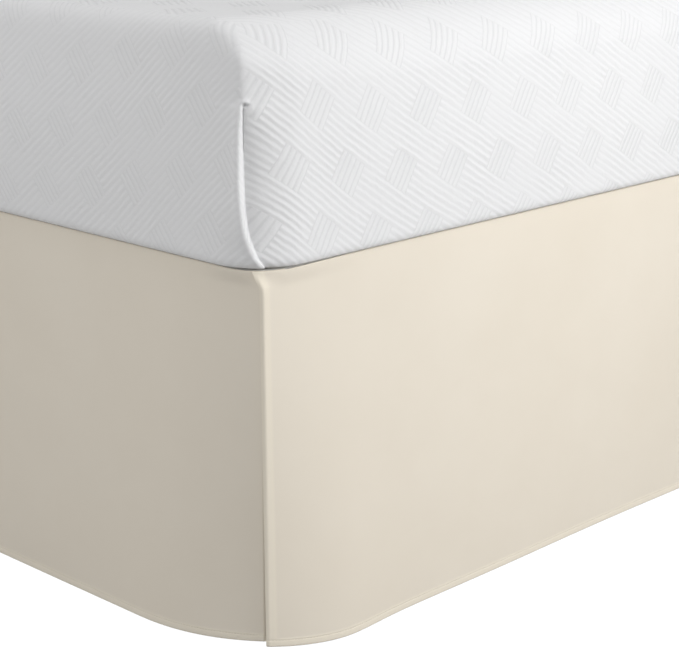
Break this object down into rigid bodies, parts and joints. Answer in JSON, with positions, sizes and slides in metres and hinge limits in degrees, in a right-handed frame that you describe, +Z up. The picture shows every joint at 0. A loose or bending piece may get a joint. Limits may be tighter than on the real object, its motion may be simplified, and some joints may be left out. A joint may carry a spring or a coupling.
{
  "type": "bed skirt on a bed",
  "caption": "Tailored bed skirt with split corners, hanging straight from a deck sheet held between the mattress and foundation of a bed on a plain low frame.",
  "frame": {"origin": "on the floor under the middle of the bed", "axes": "+X towards the right side as seen from the foot, +Y from the foot to the head, +Z up"},
  "size_m": [1.532, 2.04, 0.5801],
  "materials": {
    "skirt_cloth": "cream plain-woven microfibre with a narrow stitched hem",
    "deck_cloth": "thin off-white plain-woven sheet",
    "mattress_cover": "white quilted cover with basket-weave channels",
    "foundation_cover": "plain off-white ticking",
    "rail_metal": "dark satin powder coat",
    "leg_plastic": "moulded black plastic, fine grain"
  },
  "bodies": {
    "root": {"mattress": "mattress_cover", "foundation": "foundation_cover", "deck": "deck_cloth", "side_panel_left": "skirt_cloth", "side_panel_right": "skirt_cloth", "foot_panel": "skirt_cloth", "long_rail_left": "rail_metal", "long_rail_middle": "rail_metal", "long_rail_right": "rail_metal", "cross_rail_foot": "rail_metal", "cross_rail_middle": "rail_metal", "cross_rail_head": "rail_metal", "leg_foot_left": "leg_plastic", "leg_foot_middle": "leg_plastic", "leg_foot_right": "leg_plastic", "leg_middle_left": "leg_plastic", "leg_middle_middle": "leg_plastic", "leg_middle_right": "leg_plastic", "leg_head_left": "leg_plastic", "leg_head_middle": "leg_plastic", "leg_head_right": "leg_plastic"}
  },
  "joints": []
}
